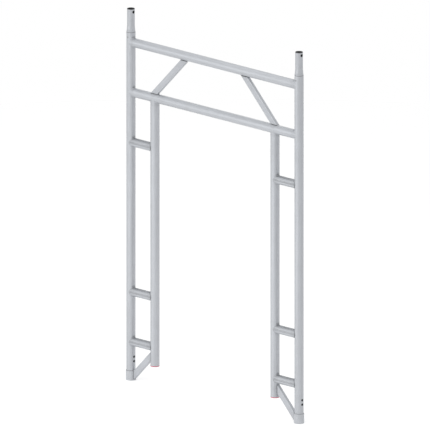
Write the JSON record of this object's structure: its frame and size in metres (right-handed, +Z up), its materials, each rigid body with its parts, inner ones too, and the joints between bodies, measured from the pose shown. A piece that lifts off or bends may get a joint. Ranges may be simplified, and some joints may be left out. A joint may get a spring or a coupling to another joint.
{
  "type": "frame scaffold section",
  "caption": "Walk-through aluminium scaffold end frame: two ladder legs under a braced two-ledger head, with sockets in its feet and spigots on top.",
  "frame": {"origin": "on the floor, midway between the outer standards' axes", "axes": "+X along the ledgers towards the right leg, +Y across the frame's plane, +Z up along the standards"},
  "size_m": [1.346, 0.056, 2.084],
  "materials": {
    "standard_aluminium": "satin, as extruded",
    "ledger_aluminium": "satin, as extruded",
    "rung_aluminium": "satin, with ribs along the rung",
    "brace_aluminium": "satin, as extruded",
    "sleeve_aluminium": "satin, turned",
    "spigot_aluminium": "satin, swaged",
    "rivet_aluminium": "plain",
    "plug_plastic": "moulded, fine grain"
  },
  "bodies": {
    "root": {"outer_standard_left": "standard_aluminium", "outer_standard_right": "standard_aluminium", "inner_standard_left": "standard_aluminium", "inner_standard_right": "standard_aluminium", "top_ledger": "ledger_aluminium", "lower_ledger": "ledger_aluminium", "rung_left_low": "rung_aluminium", "rung_left_mid": "rung_aluminium", "rung_left_high": "rung_aluminium", "rung_right_low": "rung_aluminium", "rung_right_mid": "rung_aluminium", "rung_right_high": "rung_aluminium", "upper_brace_left": "brace_aluminium", "upper_brace_right": "brace_aluminium", "lower_brace_left": "brace_aluminium", "lower_brace_right": "brace_aluminium", "foot_sleeve_left": "sleeve_aluminium", "foot_sleeve_right": "sleeve_aluminium", "spigot_left": "spigot_aluminium", "spigot_right": "spigot_aluminium", "spigot_rivets_left": "rivet_aluminium", "spigot_rivets_right": "rivet_aluminium", "end_plug_left": "plug_plastic", "end_plug_right": "plug_plastic"}
  },
  "joints": []
}
